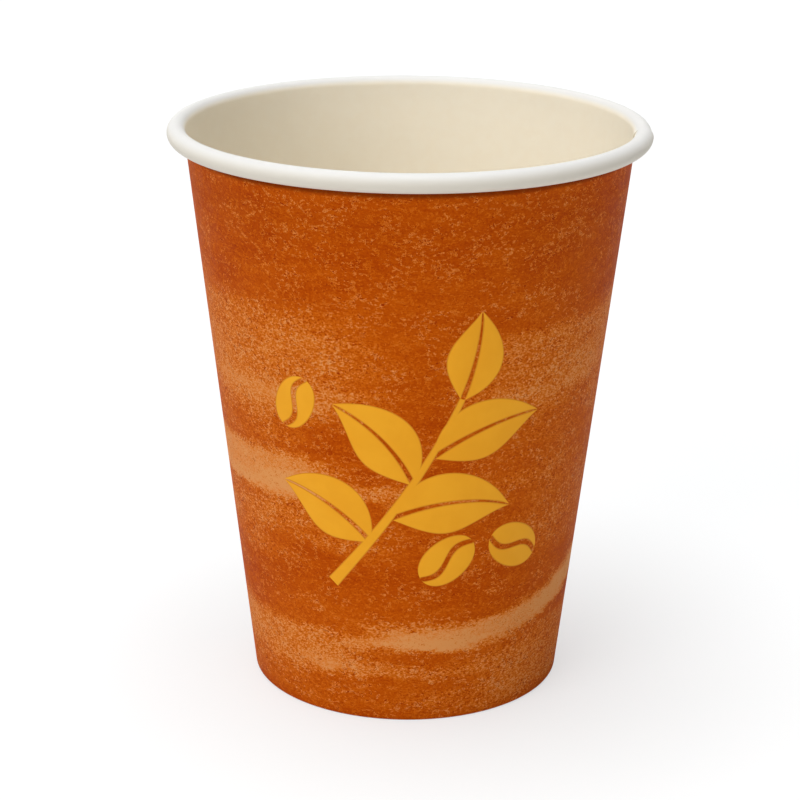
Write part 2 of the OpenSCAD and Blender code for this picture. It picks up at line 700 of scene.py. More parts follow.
@dataclass(frozen=True)
class CoatedFinish(Finish):
    """Smooth coated face of the board: cream down inside the cup, and white where it is rolled out."""

    name: str = "Coated board"
    surface: Surface = Surface(grain=0.6)
    rim: tuple[float, ...] = srgb(219, 218, 215)
    # Painted light: the roll's outer, lower side is coloured lighter and warmer than its top, standing in
    # for the softer light it gets from below
    rim_side_painted_light: tuple[float, ...] = srgb(233, 227, 214)
    inside: tuple[float, ...] = srgb(249, 241, 223)
    mottled: tuple[float, ...] = srgb(248, 239, 220)
    rim_past: Ramp = Ramp(0.1, 1.3)
    painted_light_past: Ramp = Ramp(3.0, 5.0)

    def colour(self, board: Board) -> Socket:
        """Works out the coat's colour, by how far past the rim's bend it lies.

        Args:
            board: the material in the making.

        Returns:
            The colour.
        """
        g = board.g
        rolled = g.map(Sidewall.TURNED_MAP).outputs["X"]
        cream = g.blend(board.fibre.outputs["Mottle"], self.mottled, self.inside)
        # Painted light: past the roll's top its colour turns to the lighter, warmer side colour
        roll = g.blend(g.ramp(rolled, self.painted_light_past), self.rim, self.rim_side_painted_light)
        return g.blend(g.ramp(rolled, self.rim_past), cream, roll)


@dataclass(frozen=True)
class PlainFinish(Finish):
    """Coated board of the bottom disc, a shade deeper than the sidewall's."""

    name: str = "Plain board"
    surface: Surface = Surface(grain=0.8)
    # Painted shade: the disc's coat is a shade deeper than the sidewall's cream, to hold the brightly lit
    # disc below white
    coat: tuple[float, ...] = srgb(227, 219, 202)
    mottled: tuple[float, ...] = srgb(222, 213, 195)

    def colour(self, board: Board) -> Socket:
        """Works out the coat's colour.

        Args:
            board: the material in the making.

        Returns:
            The colour.
        """
        return board.g.blend(board.fibre.outputs["Mottle"], self.mottled, self.coat)


@dataclass(frozen=True)
class CutFinish(Finish):
    """Cut edge of the board, where its uncoated fibres show."""

    name: str = "Cut board edge"
    surface: Surface = Surface(waves=0.0, bump=0.4, depth=0.06, roughness=0.9, specular=0.2)
    pale: tuple[float, ...] = srgb(236, 229, 214)
    grey: tuple[float, ...] = srgb(205, 195, 178)
    pale_height: Ramp = Ramp(-0.6, 0.6)

    def colour(self, board: Board) -> Socket:
        """Works out the colour of the cut fibres, paler where they stand out.

        Args:
            board: the material in the making.

        Returns:
            The colour.
        """
        raised = board.g.ramp(board.fibre.outputs["Height"], self.pale_height)
        return board.g.blend(raised, self.grey, self.pale)


@dataclass(frozen=True)
class InkFinish(Finish):
    """Golden-yellow ink printed flat over the ground, a little uneven as a flexible plate lays it down."""

    name: str = "Golden ink"
    surface: Surface = Surface(waves=0.6, depth=0.04, roughness=Ramp(0, 1, 0.45, 0.55), specular=0.12)
    full: tuple[float, ...] = srgb(253, 177, 38)
    thin: tuple[float, ...] = srgb(249, 171, 34)
    edge: tuple[float, ...] = srgb(214, 128, 24)
    cover: Noise = Noise(130, 3, 0.6)
    cover_share: Ramp = Ramp(0.35, 0.65)

    def colour(self, board: Board) -> Socket:
        """Works out the ink's colour, darker along its edges.

        Args:
            board: the material in the making.

        Returns:
            The colour.
        """
        g = board.g
        cover = g.ramp(g.noise(board.place, self.cover), self.cover_share)
        inward = g.map(Motif.EDGE_MAP).outputs["X"]
        return g.blend(inward, self.edge, g.blend(cover, self.thin, self.full))


# The cup's construction


def arc(
    radius: float, centre: Point, start: float, end: float, steps: int
) -> list[tuple[float, float, float, float]]:
    """Samples a bend of the board along its middle line.

    Args:
        radius: radius of the middle line.
        centre: centre of the bend.
        start: angle where it begins, in degrees.
        end: angle where it ends.
        steps: how many equal steps it takes.

    Returns:
        For each point its place and the direction from the bend's centre.
    """
    found = []
    for angle in np.radians(np.linspace(start, end, steps + 1)):
        c, s = math.cos(angle), math.sin(angle)
        found.append((centre[0] + radius * c, centre[1] + radius * s, c, s))
    return found


@dataclass(frozen=True)
class Section:
    """The board's section as it is sampled, from the hem's cut edge to the tucked edge in the roll.

    Each row holds its x and y on the board's middle line, and the direction out of its printed face.
    """

    rows: np.ndarray
    hem_rows: int
    fold_rows: int
    wall_rows: int

    @property
    def skirt_row(self) -> int:
        """First row of the wall, level with the end of the disc's skirt."""
        return self.hem_rows + self.fold_rows

    @property
    def roll_row(self) -> int:
        """First row of the roll."""
        return self.skirt_row + self.wall_rows

    @property
    def reach_row(self) -> int:
        """Last row of the wall, where the lap's outer layer ends."""
        return self.roll_row - 1

    @property
    def path(self) -> np.ndarray:
        """Distance of each row along the board from the hem's cut edge."""
        steps = np.diff(self.rows[:, :2], axis=0)
        return np.concatenate([[0], np.cumsum(np.hypot(*steps.T))])


@dataclass(frozen=True)
class Blank:
    """The fan-shaped blank of board as it is wrapped, rolled and folded into the cup's wall.

    Its section is drawn in the wall's own frame, where y runs up the outer face from the foot and x points
    outwards. The sizes are the part's own. After them come the radius that the print is drawn for, and how
    finely the section is sampled.
    """

    cup_h: float = 108.5
    rim_d: float = 90.0
    foot_d: float = 59.2
    wall_t: float = 0.35
    disc_t: float = 0.3
    fit: float = 0.02
    roll_d: float = 3.5
    roll_turn: float = 240.0
    tuck_turn: float = 150.0
    tuck_gap: float = 0.1
    recess_h: float = 8.0
    hem_gap: float = 1.0
    skirt_gap: float = 1.0
    foot_flat: float = 0.5
    flutes: int = 72
    flute_depth: float = 0.12
    flute_r: float = 0.6
    flute_margin: float = 0.9
    lap_w: float = 7.0
    lap_press: float = 0.05
    seam_at: float = 3.0
    print_r: float = 36.0
    flute_run_out: float = 0.12
    fold_steps: int = 16
    wall_rows: int = 26
    roll_steps: int = 32
    tuck_steps: int = 12

    @property
    def step(self) -> float:
        """Step in radius between the two layers of the lap."""
        return self.wall_t - self.lap_press

    @property
    def roll_r(self) -> float:
        """Outside radius of the rim's roll."""
        return self.roll_d / 2

    @property
    def to_roll(self) -> Vector:
        """From the foot of the wall's line to the roll's centre, in the plane of the section."""
        return Vector((self.rim_d / 2 - self.roll_r - self.foot_d / 2, self.cup_h - self.roll_r))

    @property
    def lean(self) -> float:
        """Lean of the wall from upright, in radians."""
        reach = self.to_roll
        return math.atan2(reach.x, reach.y) - math.asin((self.roll_r - self.wall_t) / reach.length)

    @property
    def wall_len(self) -> float:
        """Length of the wall's straight line, from the table to the roll."""
        return math.sqrt(self.to_roll.length_squared - (self.roll_r - self.wall_t) ** 2)

    @property
    def tuck_from(self) -> float:
        """Angle of the section where the roll's outer bend passes into the tighter tuck, in degrees."""
        return 180 - self.roll_turn

    @property
    def tuck_shift(self) -> float:
        """Distance from the outer bend's centre to the tuck's."""
        return (self.wall_t + self.tuck_gap) / (1 + math.cos(math.radians(self.tuck_from)))

    @property
    def fold_r(self) -> float:
        """Outside radius of the fold at the foot."""
        return self.wall_t + (self.disc_t + self.step + 2 * self.fit) / 2

    @property
    def fold_y(self) -> float:
        """Height up the wall of the fold's centre."""
        return self.along(-self.fold_r, math.sqrt(self.fold_r**2 - (self.foot_flat / 2) ** 2))

    @property
    def hem_top(self) -> float:
        """Height up the wall of the hem's cut edge."""
        return self.along(-2 * self.fold_r, self.recess_h - self.hem_gap)

    @property
    def outer_reach(self) -> float:
        """Height up the wall where the lap's outer layer ends, under the roll."""
        return self.wall_len + self.tuck_shift * math.sin(math.radians(self.tuck_from))

    @property
    def lap_turn(self) -> float:
        """Turn that the lap takes up, in degrees."""
        return math.degrees(math.asin(self.lap_w / (self.foot_d / 2 + self.wall_len * math.sin(self.lean))))

    def along(self, x: float, z: float) -> float:
        """Finds how far up the wall a point x out from its outer face has height z.

        Args:
            x: distance out from the outer face.
            z: height above the table.

        Returns:
            The distance up the wall.
        """
        return (z + x * math.sin(self.lean)) / math.cos(self.lean)

    def to_cup(self, turn: np.ndarray, x: np.ndarray, y: np.ndarray) -> np.ndarray:
        """Places points of the section round the cup.

        Each half turn of the blank has its own centre, and so the blank winds outwards.

        Args:
            turn: angle from the seam for each point, in degrees.
            x: distance out from the wall's outer face.
            y: distance up the wall.

        Returns:
            The points in the cup's frame, in millimetres, with x, y and z in the last axis.
        """
        side = np.where(turn < 180, -1.0, 1.0) * self.step / 4
        out = self.foot_d / 2 + side + x * math.cos(self.lean) + y * math.sin(self.lean)
        z = y * math.cos(self.lean) - x * math.sin(self.lean)
        angle, seam = np.radians(turn), math.radians(self.seam_at)
        flat_x, flat_y = side + out * np.cos(angle), out * np.sin(angle)
        turned_x = flat_x * math.cos(seam) - flat_y * math.sin(seam)
        turned_y = flat_x * math.sin(seam) + flat_y * math.cos(seam)
        return np.stack(np.broadcast_arrays(turned_x, turned_y, z), axis=-1)

    def section(self) -> Section:
        """Samples the board's middle line from the hem's cut edge to the tucked edge in the roll.

        Returns:
            The section.
        """
        half = self.wall_t / 2
        hem_x = half - 2 * self.fold_r
        hem = [(hem_x, y, -1.0, 0.0) for y in self.hem_heights()]
        fold = arc(self.fold_r - half, (-self.fold_r, self.fold_y), 180, 360, self.fold_steps)
        heights = np.linspace(self.fold_y + self.skirt_gap, self.outer_reach, self.wall_rows)
        wall = [(-half, y, 1.0, 0.0) for y in heights]
        roll = (self.roll_r - self.wall_t, self.wall_len)
        turned = math.radians(self.tuck_from)
        tuck = (roll[0] + self.tuck_shift * math.cos(turned), roll[1] + self.tuck_shift * math.sin(turned))
        tuck_r, tuck_to = self.roll_r - self.tuck_shift - half, self.tuck_from - self.tuck_turn
        curl = arc(self.roll_r - half, roll, 180, self.tuck_from, self.roll_steps)
        curl += arc(tuck_r, tuck, self.tuck_from, tuck_to, self.tuck_steps)[1:]
        curl = [(x, y, -c, -s) for x, y, c, s in curl]
        return Section(np.array(hem + fold + wall + curl), len(hem), len(fold), len(wall))

    def hem_heights(self) -> list[float]:
        """Chooses the hem's rows, close together where the flutes begin and end.

        Returns:
            Heights up the wall from the cut edge down, without the fold's first row.
        """
        near = self.flute_run_out
        top, bottom = self.hem_top - self.flute_margin, self.fold_y + self.flute_margin
        return [self.hem_top, top + near, top - near, (top + bottom) / 2, bottom + near, bottom - near]

    def around(self, turns: np.ndarray) -> np.ndarray:
        """Measures the distance round the cup from its front, at the radius that the print is drawn for.

        Args:
            turns: angles from the seam, in degrees.

        Returns:
            The distances in millimetres.
        """
        return np.radians(turns - FRONT + self.seam_at) * self.print_r

    def on_print(self, around: np.ndarray, up: np.ndarray, lift: np.ndarray) -> np.ndarray:
        """Places points of the print on the wall.

        Args:
            around: distance round the cup from its front.
            up: height above the table.
            lift: height above the printed face.

        Returns:
            The points in the cup's frame, in millimetres.
        """
        turns = np.degrees(around / self.print_r) + FRONT - self.seam_at
        return self.to_cup(turns, lift, up / math.cos(self.lean))


@dataclass
class Sidewall:
    """The wrapped blank as one closed sheet: wall, rolled rim and knurled hem.

    The rim wanders in waves, which grow over a share of the wall at its top. Each wave has its share, how
    many go round and where it starts. In the lap the roll rises over some degrees and rows of the section.
    """

    BLANK_MAP = "blank_mm"
    TURNED_MAP = "turned_mm"
    BAKE_MAP = "OFBake"
    CUT_EDGES = 4

    blank: Blank = field(default_factory=Blank)
    rim_wander: float = 0.05
    rim_waves: tuple[tuple[float, float, float], ...] = ((1.0, 3, 0.6), (0.6, 7, 2.1), (0.4, 13, 4.0))
    wander_share: float = 0.1
    wander_drop: float = 0.4
    flute_ring: float = 0.55
    lap_rings: int = 9
    lap_blend: float = 5.5
    rise_rows: int = 9
    face_share: float = 0.485

    def rings(self) -> np.ndarray:
        """Chooses the angles of the mesh's rings, with a few across each flute of the hem.

        Returns:
            Angles from the seam in degrees, from the inner edge of the blank to the outer one.
        """
        b = self.blank
        pitch = 360 / b.flutes
        half_flute = math.degrees(math.sqrt(b.flute_r**2 - (b.flute_r - b.flute_depth) ** 2) / self.hem_r)
        inner = self.flute_ring * half_flute
        offsets = np.array([-pitch / 2, -half_flute, -inner, 0, inner, half_flute])
        centres = (np.arange(b.flutes) + 0.5) * pitch
        turns = (centres[:, None] + offsets).ravel()
        under = np.linspace(-b.lap_turn, 0, self.lap_rings + 1)[:-1]
        return np.sort(np.concatenate([under, turns, [360 - b.lap_turn, 360]]))

    @property
    def hem_r(self) -> float:
        """Radius of the hem's inner face at its mid height."""
        b = self.blank
        return b.foot_d / 2 - 2 * b.fold_r * math.cos(b.lean) + b.recess_h / 2 * math.tan(b.lean)

    def flute_press(self, turns: np.ndarray, section: Section) -> np.ndarray:
        """Works out how deep the knurling wheel presses each point of the hem's face.

        Args:
            turns: the rings' angles.
            section: the board's section.

        Returns:
            The depth for each ring and row.
        """
        b = self.blank
        pitch = 360 / b.flutes
        off = np.radians((turns % pitch) - pitch / 2) * self.hem_r
        tooth = b.flute_depth - b.flute_r + np.sqrt(np.maximum(b.flute_r**2 - off**2, 0))
        up = section.rows[:, 1]
        pressed = (up > b.fold_y + b.flute_margin) & (up < b.hem_top - b.flute_margin)
        pressed[section.hem_rows:] = False
        return np.maximum(tooth, 0)[:, None] * pressed[None, :]

    def wander(self, turns: np.ndarray, rows: np.ndarray) -> np.ndarray:
        """Gives the roll the slight unevenness of formed board, always inwards.

        Args:
            turns: the rings' angles.
            rows: the section's points.

        Returns:
            The shift of each ring and row, in millimetres.
        """
        angle = np.radians(turns)
        wave = sum(share * np.sin(count * angle + start) for share, count, start in self.rim_waves)
        reach = sum(share for share, _, _ in self.rim_waves)
        over = self.wander_share * self.blank.wall_len
        grown = np.clip((rows[:, 1] - (self.blank.wall_len - over)) / over, 0, 1)
        return -self.rim_wander * (wave / reach + 1)[:, None] / 2 * grown[None, :]

    def lap_rise(self, turns: np.ndarray, section: Section) -> np.ndarray:
        """Brings the roll up to the outer layer's where the lap begins, so that the rim has no step.

        Args:
            turns: the rings' angles.
            section: the board's section.

        Returns:
            The shift of each ring and row, in millimetres.
        """
        b = self.blank
        left = np.clip((turns + b.lap_turn) / self.lap_blend, 0, 1)
        rise = np.where(turns < 0, b.step * (1 - left) ** 2, 0.0)
        rolled = np.clip((np.arange(len(section.rows)) - section.reach_row) / self.rise_rows, 0, 1)
        return rise[:, None] * (rolled**2 * (3 - 2 * rolled))[None, :]

    def build(self, finishes: list[bpy.types.Material]) -> bpy.types.Object:
        """Makes the piece: a grid of rings and rows on each face of the board, joined along every cut edge.

        Args:
            finishes: the materials, in the order of BoardFace.

        Returns:
            The piece.
        """
        b = self.blank
        turns, section = self.rings(), b.section()
        rows, half = section.rows, b.wall_t / 2
        turn_grid = np.broadcast_to(turns[:, None], (len(turns), len(rows)))
        drift = self.wander(turns, rows)
        rise = self.lap_rise(turns, section)
        faces = []
        for sign in (1, -1):
            x = rows[None, :, 0] + sign * half * rows[None, :, 2] + drift + rise
            y = np.broadcast_to(rows[None, :, 1] + sign * half * rows[None, :, 3], x.shape)
            if sign > 0:
                x = x + self.flute_press(turns, section)
            points = b.to_cup(turn_grid, x, y + drift * self.wander_drop)
            points[..., 2] = np.maximum(points[..., 2], 0)
            faces.append(points)
        return self.sheet(turns, section, faces, finishes)

    def exists(self, turns: np.ndarray, section: Section) -> np.ndarray:
        """Says which cells of the grid the board covers: under the lap it has no hem, and over it no roll.

        Args:
            turns: the rings' angles.
            section: the board's section.

        Returns:
            A truth value for each cell between two rings and two rows.
        """
        turn = (turns[:-1] + turns[1:]) / 2
        row = np.arange(len(section.rows) - 1)
        under = (turn[:, None] > 0) | (row[None, :] >= section.skirt_row)
        over = (turn[:, None] < 360 - self.blank.lap_turn) | (row[None, :] < section.reach_row)
        return under & over

    def sheet(
        self,
        turns: np.ndarray,
        section: Section,
        faces: list[np.ndarray],
        finishes: list[bpy.types.Material],
    ) -> bpy.types.Object:
        """Joins the two faces of the board into one closed mesh, with its maps and material slots.

        Args:
            turns: the rings' angles.
            section: the board's section.
            faces: the points of the printed and of the coated face, for each ring and row.
            finishes: the materials, in the order of BoardFace.

        Returns:
            The piece.
        """
        rings, count = len(turns), len(section.rows)
        here = self.exists(turns, section)
        number = np.arange(rings * count).reshape(rings, count)
        beyond = rings * count
        quads: list[Corners] = []
        for i, j in zip(*np.nonzero(here)):
            ring = (number[i, j], number[i + 1, j], number[i + 1, j + 1], number[i, j + 1])
            quads += [ring, tuple(n + beyond for n in reversed(ring))]
        slots = [BoardFace.PRINTED, BoardFace.COATED] * (len(quads) // 2)
        padded = np.pad(here, 1)
        strips: list[Corners] = []
        for i, j in zip(*np.nonzero(here)):
            edges = (
                (padded[i, j + 1], (i, j), (i, j + 1)),
                (padded[i + 2, j + 1], (i + 1, j + 1), (i + 1, j)),
                (padded[i + 1, j], (i + 1, j), (i, j)),
                (padded[i + 1, j + 2], (i, j + 1), (i + 1, j + 1)),
            )
            for strip, (covered, first, second) in enumerate(edges):
                if not covered:
                    one, two = number[first], number[second]
                    quads.append((one, two, two + beyond, one + beyond))
                    strips.append((strip, *first, *second))
        slots += [BoardFace.CUT] * len(strips)
        points = np.concatenate([face.reshape(-1, 3) for face in faces]) * MM
        corners = np.array(quads)
        maps = self.print_maps(turns, section, faces[0][..., 2], corners)
        maps[self.BAKE_MAP] = self.bake_map(turns, section, corners, strips)
        return closed_mesh("sidewall_board", points, quads, slots, finishes, maps)

    def print_maps(
        self, turns: np.ndarray, section: Section, heights: np.ndarray, corners: np.ndarray
    ) -> dict[str, np.ndarray]:
        """Measures where each corner lies on the print, and how far past the rim's and the foot's bend.

        Args:
            turns: the rings' angles.
            section: the board's section.
            heights: the height of each ring and row, in millimetres.
            corners: the point of each polygon's corners.

        Returns:
            The two maps.
        """
        around = self.blank.around(turns)
        print_mm = np.stack(np.broadcast_arrays(around[:, None], heights), -1).reshape(-1, 2)
        past_rim = np.maximum(section.path - section.path[section.roll_row], 0)
        past_foot = np.maximum(section.path[section.hem_rows + section.fold_rows // 2] - section.path, 0)
        turned = np.stack([past_rim, past_foot], -1)
        turned_mm = np.broadcast_to(turned, (len(turns), *turned.shape)).reshape(-1, 2)
        each = corners % len(print_mm)
        return {self.BLANK_MAP: print_mm[each], self.TURNED_MAP: turned_mm[each]}

    def bake_map(
        self, turns: np.ndarray, section: Section, corners: np.ndarray, strips: list[Corners]
    ) -> np.ndarray:
        """Unrolls the board: its printed face below, its coated face above and its cut edges between.

        Args:
            turns: the rings' angles.
            section: the board's section.
            corners: the point of each polygon's corners.
            strips: for each cut edge's polygon its strip, and the ring and row of its two ends.

        Returns:
            The place of each polygon's corners in a unit square.
        """
        turn = (turns - turns[0]) / (turns[-1] - turns[0])
        path = section.path / section.path[-1]
        flat = np.broadcast_arrays(turn[:, None], path[None, :] * self.face_share)
        lower = np.stack(flat, -1).reshape(-1, 2)
        places = np.concatenate([lower, lower + (0, 1 - self.face_share)])[corners]
        gap = (1 - 2 * self.face_share) / (2 * self.CUT_EDGES + 1)
        for polygon, (strip, i, j, k, m) in enumerate(strips, len(corners) - len(strips)):
            ends = (path[j], path[m]) if i == k else (turn[i], turn[k])
            low = self.face_share + gap * (1 + 2 * strip)
            places[polygon] = [(ends[0], low), (ends[1], low), (ends[1], low + gap), (ends[0], low + gap)]
        return places


def closed_mesh(
    name: str,
    points: np.ndarray,
    polygons: list[Corners],
    slots: list[int],
    materials: list[bpy.types.Material],
    maps: dict[str, np.ndarray],
) -> bpy.types.Object:
    """Makes a mesh object from points and polygons and leaves out the points that no polygon uses.

    Args:
        name: the object's name.
        points: the points in metres.
        polygons: the corners of each polygon.
        slots: the material slot of each polygon.
        materials: the materials.
        maps: for each UV map the place of every polygon's corners.

    Returns:
        The object.
    """
    used = np.unique(np.concatenate([np.array(p) for p in polygons]))
    renumber = np.full(len(points), -1)
    renumber[used] = np.arange(len(used))
    mesh = bpy.data.meshes.new(name)
    mesh.from_pydata(points[used].tolist(), [], [[int(renumber[n]) for n in p] for p in polygons])
    mesh.polygons.foreach_set("material_index", np.array(slots, dtype=np.int32))
    for material in materials:
        mesh.materials.append(material)
    for key, places in maps.items():
        layer = mesh.uv_layers.new(name=key)
        layer.uv.foreach_set("vector", places.astype(np.float32).ravel())
    mesh.shade_smooth()
    mesh.set_sharp_from_angle(angle=math.radians(SMOOTH_BEND))
    mesh.validate()
    piece = bpy.data.objects.new(name, mesh)
    bpy.context.scene.collection.objects.link(piece)
    return piece


@dataclass(frozen=True)
class BottomDisc:
    """The round blank, which stays the part's own solid and only takes a finish."""

    node: str = "bottom_disc"

    def dress(self, finish: bpy.types.Material) -> bpy.types.Object:
        """Gives the solid its finish.

        Args:
            finish: the coated board.

        Returns:
            The solid.
        """
        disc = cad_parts[self.node]
        disc.data.materials.clear()
        disc.data.materials.append(finish)
        return disc


# The motif


def bezier(points: tuple[Point, Point, Point, Point], shares: np.ndarray) -> tuple[np.ndarray, np.ndarray]:
    """Samples a cubic Bézier curve.

    Args:
        points: its four control points.
        shares: how far along it each sample lies, 0 to 1.

    Returns:
        The places, and the unit directions to the curve's left.
    """
    a, b, c, d = (np.array(point) for point in points)
    t = shares[:, None]
    places = (1 - t) ** 3 * a + 3 * (1 - t) ** 2 * t * b + 3 * (1 - t) * t**2 * c + t**3 * d
    along = (1 - t) ** 2 * (b - a) + 2 * (1 - t) * t * (c - b) + t**2 * (d - c)
    along /= np.linalg.norm(along, axis=1, keepdims=True)
    return places, np.stack([-along[:, 1], along[:, 0]], axis=1)


@dataclass(frozen=True)
class Patch:
    """A field of ink between two edges that run side by side."""

    left: np.ndarray
    right: np.ndarray


@dataclass(frozen=True)
class Stem:
    """Curved stem that tapers from a cut end to a thin tip, faster at first where the taper is under 1."""

    line: tuple[Point, Point, Point, Point]
    base_w: float
    tip_w: float
    taper: float = 0.7
    samples: int = 40

    def patches(self) -> list[Patch]:
        """Draws the stem as one patch."""
        shares = np.linspace(0, 1, self.samples)
        places, normals = bezier(self.line, shares)
        half = (self.base_w + (self.tip_w - self.base_w) * shares**self.taper)[:, None] / 2
        return [Patch(places + normals * half, places - normals * half)]


@dataclass(frozen=True)
class Leaf:
    """Pointed leaf in two halves, with a bare midrib between them.

    The bends are the control points of its middle line, by shares of its length and of its bow. Its outline
    is a half wave. A fullness under 1 moves its widest place towards the base. Its breadth begins with the
    base share, and has lost the tip loss by the tip.
    """

    base: Point
    toward: float
    length: float
    width: float
    bow: float = 0.12
    bends: tuple[Point, ...] = ((0, 0), (0.33, 1), (0.7, 1), (1, -0.2))
    ends: Point = (0.015, 0.995)
    fullness: float = 0.88
    base_share: float = 1.04
    tip_loss: float = 0.12
    midrib: float = 0.8
    midrib_taper: float = 0.75
    least_w: float = 0.03
    samples: int = 52

    def patches(self) -> list[Patch]:
        """Draws the two halves.

        Returns:
            One patch on each side of the midrib.
        """
        shares = np.linspace(*self.ends, self.samples)
        turned = math.radians(self.toward)
        ahead = np.array([math.cos(turned), math.sin(turned)])
        aside = np.array([-ahead[1], ahead[0]])
        base, bow = np.array(self.base), self.bow * self.length
        points = [base + ahead * self.length * t + aside * bow * k for t, k in self.bends]
        places, normals = bezier(tuple(map(tuple, points)), shares)
        rib = self.midrib / 2 * (1 - self.midrib_taper * shares)
        outline = np.sin(math.pi * shares**self.fullness) * (self.base_share - self.tip_loss * shares)
        outer = np.maximum(self.width / 2 * outline, rib + self.least_w)
        return [
            Patch(places + normals * (side * far)[:, None], places + normals * (side * near)[:, None])
            for side, far, near in ((1, outer, rib), (-1, rib, outer))
        ]


@dataclass(frozen=True)
class Bean:
    """Coffee bean seen from its flat side, in two halves with the crease between them.

    Its outline is an oval, blunter where the roundness is under 1. The crease sways and narrows to its ends.
    """

    centre: Point
    toward: float
    length: float = 12.4
    width: float = 8.8
    ends: Point = (0.02, 0.98)
    roundness: float = 0.92
    crease: float = 1.0
    crease_share: float = 0.45
    sway: float = 1.1
    samples: int = 36

    def patches(self) -> list[Patch]:
        """Draws the two halves.

        Returns:
            One patch on each side of the crease.
        """
        angle = np.linspace(*self.ends, self.samples) * math.pi
        x = -np.cos(angle) * self.length / 2
        rim = np.sin(angle) ** self.roundness * self.width / 2
        crease = self.sway * np.sin(2 * math.pi * x / self.length)
        gap = np.minimum(self.crease / 2, rim * self.crease_share)
        c, s = math.cos(math.radians(self.toward)), math.sin(math.radians(self.toward))
        turn, centre = np.array([[c, s], [-s, c]]), np.array(self.centre)
        heights = (rim, crease + gap, crease - gap, -rim)
        edges = [np.stack([x, y], axis=1) @ turn + centre for y in heights]
        return [Patch(edges[0], edges[1]), Patch(edges[2], edges[3])]


@dataclass
class Motif:
    """A leafy coffee sprig and a few beans in flat ink, on the front of the wall.

    Each field of ink is a slab that is sunk into the wall. It is thinner along its edges, over a width that
    is held to a share of its breadth.
    """

    EDGE_MAP = "edge_share"

    blank: Blank = field(default_factory=Blank)
    ink_t: float = 0.04
    edge_t: float = 0.4
    sunk: float = 0.05
    edge_w: float = 0.3
    edge_limit: float = 0.3
    fill_rows: int = 5
    stem: Stem = Stem(((-15.0, 28.5), (-6.5, 38.0), (3.0, 50.0), (9.5, 66.0)), 2.6, 1.2)
    leaves: tuple[Leaf, ...] = (
        Leaf((-6.9, 37.6), 150, 20.5, 12.0, bow=-0.12),
        Leaf((-3.0, 42.6), 4, 23.5, 12.4, bow=0.13),
        Leaf((1.2, 49.4), 133, 21.0, 11.8, bow=-0.12),
        Leaf((4.6, 54.8), 20, 21.5, 11.4, bow=0.1),
        Leaf((9.4, 65.8), 80, 17.0, 10.2, bow=-0.06),
    )
    beans: tuple[Bean, ...] = (
        Bean((8.0, 33.8), 36),
        Bean((22.6, 35.0), -24),
        Bean((-21.0, 63.5), 62, length=11.0, width=7.8),
    )

    def build(self, finish: bpy.types.Material) -> list[bpy.types.Object]:
        """Makes the stem, the leaves and the beans.

        Args:
            finish: the ink.

        Returns:
            The pieces.
        """
        leaves = [patch for leaf in self.leaves for patch in leaf.patches()]
        beans = [patch for bean in self.beans for patch in bean.patches()]
        kinds = (("motif_stem", self.stem.patches()), ("motif_leaves", leaves), ("motif_beans", beans))
        return [self.slab(name, patches, finish) for name, patches in kinds]

    def slab(self, name: str, patches: list[Patch], finish: bpy.types.Material) -> bpy.types.Object:
        """Makes a thin closed slab of each patch, laid on the wall and rounded off at its edges.

        Args:
            name: the piece's name.
            patches: the fields of ink.
            finish: the ink.

        Returns:
            The piece.
        """
        points: list[np.ndarray] = []
        edge: list[np.ndarray] = []
        quads: list[Corners] = []
        for patch in patches:
            start = sum(len(block) for block in points)
            breadth = np.linalg.norm(patch.right - patch.left, axis=1, keepdims=True)
            rim = np.minimum(self.edge_w / breadth, self.edge_limit)
            fill = rim + np.linspace(0, 1, self.fill_rows) * (1 - 2 * rim)
            shares = np.concatenate([np.zeros_like(rim), fill, np.ones_like(rim)], axis=1)
            across = shares[..., None]
            flat = patch.left[:, None, :] * (1 - across) + patch.right[:, None, :] * across
            count, rows = shares.shape
            inside = np.ones(rows)
            inside[[0, -1]] = 0
            height = self.ink_t * (self.edge_t + (1 - self.edge_t) * inside)
            top = self.blank.on_print(flat[..., 0], flat[..., 1], np.broadcast_to(height, shares.shape))
            bottom = self.blank.on_print(flat[..., 0], flat[..., 1], np.full(shares.shape, -self.sunk))
            points += [top.reshape(-1, 3), bottom.reshape(-1, 3)]
            edge += [np.stack([np.broadcast_to(inside, shares.shape), shares], axis=-1).reshape(-1, 2)] * 2
            quads += slab_quads(start, count, rows)
        slots = [0] * len(quads)
        maps = {self.EDGE_MAP: np.concatenate(edge)[np.array(quads)]}
        return closed_mesh(name, np.concatenate(points) * MM, quads, slots, [finish], maps)


def slab_quads(start: int, count: int, rows: int) -> list[Corners]:
    """Numbers the faces of a closed slab whose top and bottom are equal grids.

    Args:
        start: the number of its first point.
        count: points along the grid.
        rows: points across it.

    Returns:
        The corners of each face.
    """
    top = start + np.arange(count * rows).reshape(count, rows)
    below = count * rows
    quads = []
    for i in range(count - 1):
        for j in range(rows - 1):
            ring = (top[i, j], top[i, j + 1], top[i + 1, j + 1], top[i + 1, j])
            quads += [ring, tuple(n + below for n in reversed(ring))]
    border = [*top[0, ::-1], *top[1:, 0], *top[-1, 1:], *top[-2:0:-1, -1]]
    quads += [(a, b, b + below, a + below) for a, b in zip(border, border[1:] + border[:1])]
    return quads


# Studio


@dataclass(frozen=True)
class Lamp:
    """Broad, distant lamp. Its azimuth is anticlockwise from +X, and a power of 1 is a full white level."""

    name: str
    azimuth: float
    elevation: float
    power: float
    spread: float

    def build(self) -> bpy.types.Object:
        """Makes the lamp.

        Returns:
            The light object.
        """
        data = bpy.data.lights.new(self.name, "SUN")
        data.energy, data.angle = math.pi * self.power, math.radians(self.spread)
        made = bpy.data.objects.new(self.name, data)
        turn, rise = math.radians(self.azimuth), math.radians(self.elevation)
        source = Vector((math.cos(rise) * math.cos(turn), math.cos(rise) * math.sin(turn), math.sin(rise)))
        made.rotation_euler = source.to_track_quat("Z", "Y").to_euler()
        bpy.context.scene.collection.objects.link(made)
        return made


